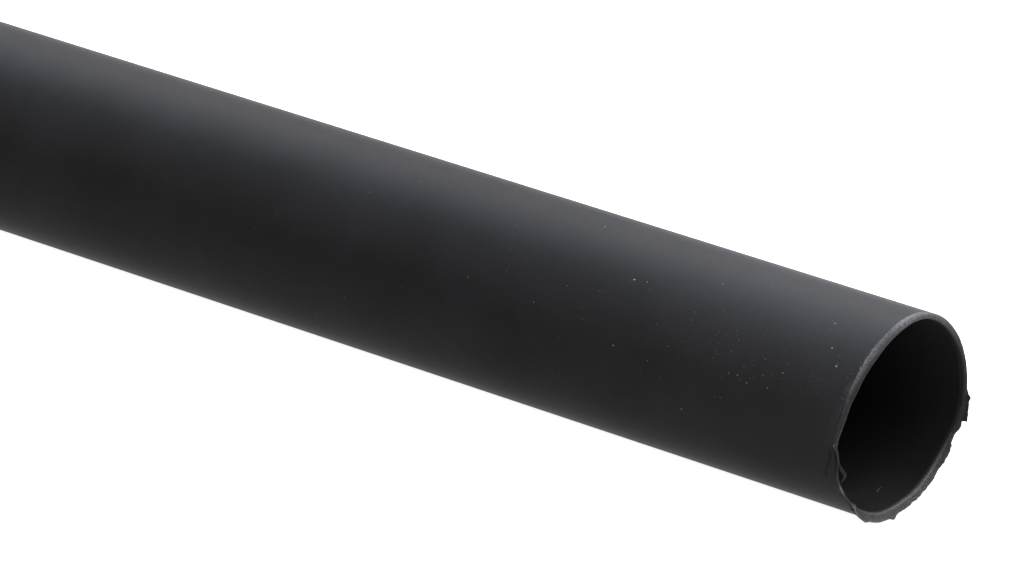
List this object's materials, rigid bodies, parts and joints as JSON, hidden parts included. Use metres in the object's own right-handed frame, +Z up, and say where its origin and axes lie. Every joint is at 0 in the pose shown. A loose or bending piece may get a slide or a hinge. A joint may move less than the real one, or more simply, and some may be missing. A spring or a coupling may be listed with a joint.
{
  "type": "heat shrink tube",
  "caption": "Thin-walled black heat shrink tube, as supplied before shrinking: a straight round sleeve with an open bore and two cut ends.",
  "frame": {"origin": "on the ground plane under the middle of the lying tube, so the tube's axis is one outer radius (5.1 mm) above it", "axes": "+X along the tube towards the cut mouth that the picture shows, +Z up"},
  "size_m": [0.1524, 0.0102, 0.0102],
  "materials": {
    "tube": "matt extruded cross-linked polyolefin, black"
  },
  "bodies": {
    "root": {"shrink_tube": "tube"}
  },
  "joints": []
}
